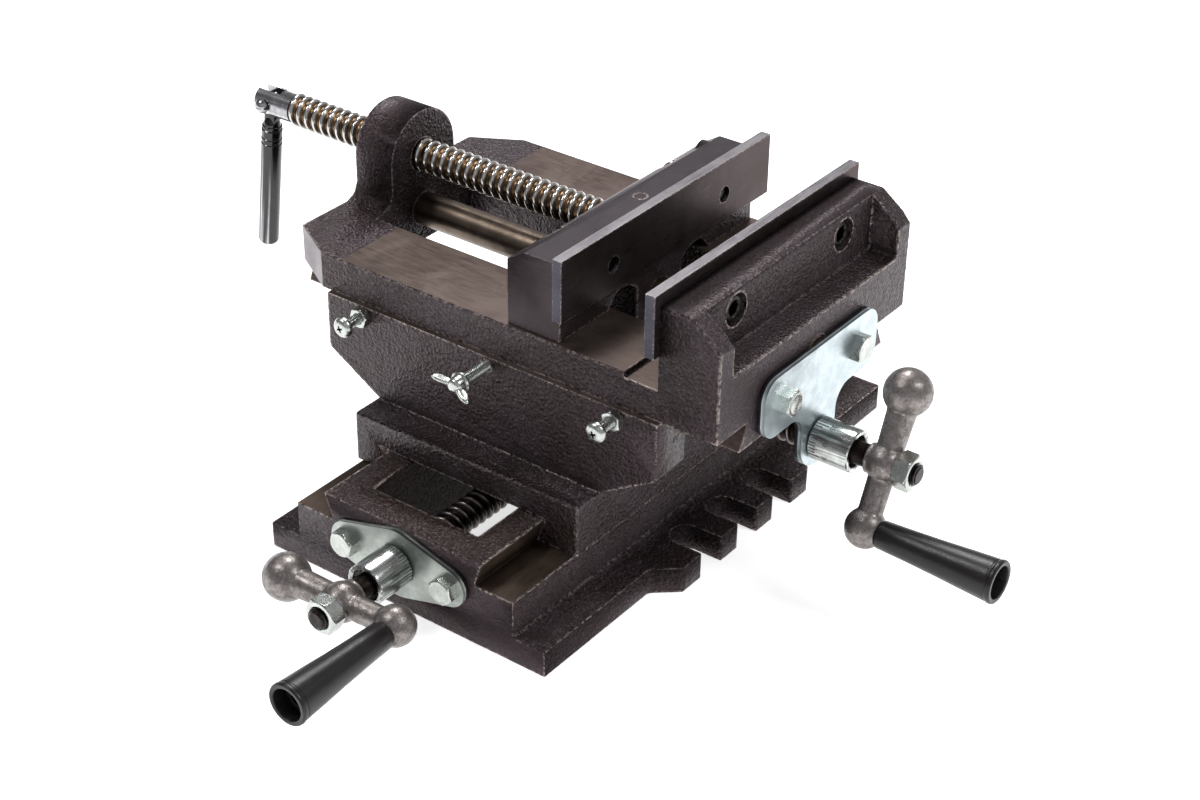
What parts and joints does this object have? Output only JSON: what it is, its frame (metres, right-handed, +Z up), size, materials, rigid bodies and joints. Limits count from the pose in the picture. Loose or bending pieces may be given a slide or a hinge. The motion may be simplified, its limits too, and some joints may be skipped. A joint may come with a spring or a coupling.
{
  "type": "cross-slide vise",
  "caption": "Cross-slide drill-press vise: clamping vise on two dovetail slides at right angles, each driven by a cranked feed screw with a graduated collar.",
  "frame": {"origin": "centre of the base's footprint on the machine table, and of its pattern of hold-down slots", "axes": "+Z up, +X along the clamp screw towards the fixed jaw, +Y along the jaws away from the lower crank"},
  "size_m": [0.3473, 0.3006, 0.1304],
  "materials": {
    "cast_iron": "oiled rough casting",
    "jaw_steel": "ground, blued",
    "rod_steel": "bare turned steel",
    "chrome_steel": "bright plated",
    "black_steel": "black oxide",
    "zinc_steel": "bright zinc plated",
    "crank_metal": "raw cast, tumbled",
    "grip_plastic": "satin black",
    "bronze": "cast bronze"
  },
  "bodies": {
    "base": {"base_casting": "cast_iron", "y_bracket_plate": "zinc_steel", "y_bracket_bolts": "zinc_steel"},
    "y_screw": {"y_lead_screw": "black_steel", "y_graduated_collar": "zinc_steel", "y_collar_grub_screw": "black_steel", "y_crank_arm": "crank_metal", "y_crank_nut": "zinc_steel", "y_grip_bolt": "black_steel"},
    "y_grip": {"y_grip": "grip_plastic"},
    "saddle": {"saddle_casting": "cast_iron", "x_gib": "rod_steel", "y_gib": "rod_steel", "x_gib_screws": "zinc_steel", "x_gib_lock_nuts": "zinc_steel", "y_gib_screws": "zinc_steel", "y_gib_lock_nuts": "zinc_steel", "x_feed_nut": "bronze", "x_feed_nut_screws": "black_steel", "y_feed_nut": "bronze", "y_feed_nut_screws": "black_steel"},
    "x_lock": {"x_lock_screw": "zinc_steel"},
    "y_lock": {"y_lock_screw": "zinc_steel"},
    "vise_body": {"vise_body_casting": "cast_iron", "guide_rod": "rod_steel", "fixed_jaw_plate": "jaw_steel", "fixed_jaw_screws": "black_steel", "x_bracket_plate": "zinc_steel", "x_bracket_bolts": "zinc_steel"},
    "x_screw": {"x_lead_screw": "black_steel", "x_graduated_collar": "zinc_steel", "x_collar_grub_screw": "black_steel", "x_crank_arm": "crank_metal", "x_crank_nut": "zinc_steel", "x_grip_bolt": "black_steel"},
    "x_grip": {"x_grip": "grip_plastic"},
    "moving_jaw": {"moving_jaw_casting": "cast_iron", "moving_jaw_plate": "jaw_steel", "moving_jaw_screws": "black_steel", "thrust_pin": "black_steel"},
    "clamp_screw": {"clamp_screw": "chrome_steel", "handle_rivet": "chrome_steel"},
    "handle": {"clamp_handle": "chrome_steel"}
  },
  "joints": [
    {"name": "saddle_slide", "type": "slide", "parent": "base", "child": "saddle", "axis": [0, 1, 0], "range_m": [-0.045, 0.045]},
    {"name": "y_crank_turn", "type": "hinge", "parent": "base", "child": "y_screw", "pos_m": [0, -0.112, 0.0213], "axis": [0, 1, 0], "range_deg": [-4056, 4056]},
    {"name": "y_grip_spin", "type": "hinge", "parent": "y_screw", "child": "y_grip", "pos_m": [0.02358, -0.1395, 0.02229], "axis": [0, -1, 0], "continuous": true},
    {"name": "body_slide", "type": "slide", "parent": "saddle", "child": "vise_body", "axis": [1, 0, 0], "range_m": [-0.045, 0.045]},
    {"name": "x_crank_turn", "type": "hinge", "parent": "vise_body", "child": "x_screw", "pos_m": [0.0993, -0.0015, 0.0568], "axis": [1, 0, 0], "range_deg": [-4056, 4056]},
    {"name": "x_grip_spin", "type": "hinge", "parent": "x_screw", "child": "x_grip", "pos_m": [0.1268, -0.01203, 0.03568], "axis": [1, 0, 0], "continuous": true},
    {"name": "jaw_slide", "type": "slide", "parent": "vise_body", "child": "moving_jaw", "axis": [1, 0, 0], "range_m": [-0.086, 0.033]},
    {"name": "clamp_screw_turn", "type": "hinge", "parent": "moving_jaw", "child": "clamp_screw", "pos_m": [0, -0.0015, 0.112], "axis": [1, 0, 0], "range_deg": [-7745, 2975]},
    {"name": "handle_swing", "type": "hinge", "parent": "clamp_screw", "child": "handle", "pos_m": [-0.1563, -0.0015, 0.112], "axis": [0, 1, 0], "range_deg": [-20, 80]},
    {"name": "x_lock_turn", "type": "hinge", "parent": "saddle", "child": "x_lock", "pos_m": [0.0006, -0.0625, 0.0778], "axis": [0, 1, 0], "range_deg": [-180, 180]},
    {"name": "y_lock_turn", "type": "hinge", "parent": "saddle", "child": "y_lock", "pos_m": [-0.0502, -0.0015, 0.03], "axis": [1, 0, 0], "range_deg": [-180, 180]}
  ],
  "couplings": [
    {"joint": "y_crank_turn", "follows": "saddle_slide", "rad_per_m": -1570.8},
    {"joint": "x_crank_turn", "follows": "body_slide", "rad_per_m": 1570.8},
    {"joint": "clamp_screw_turn", "follows": "jaw_slide", "rad_per_m": 1570.8}
  ]
}
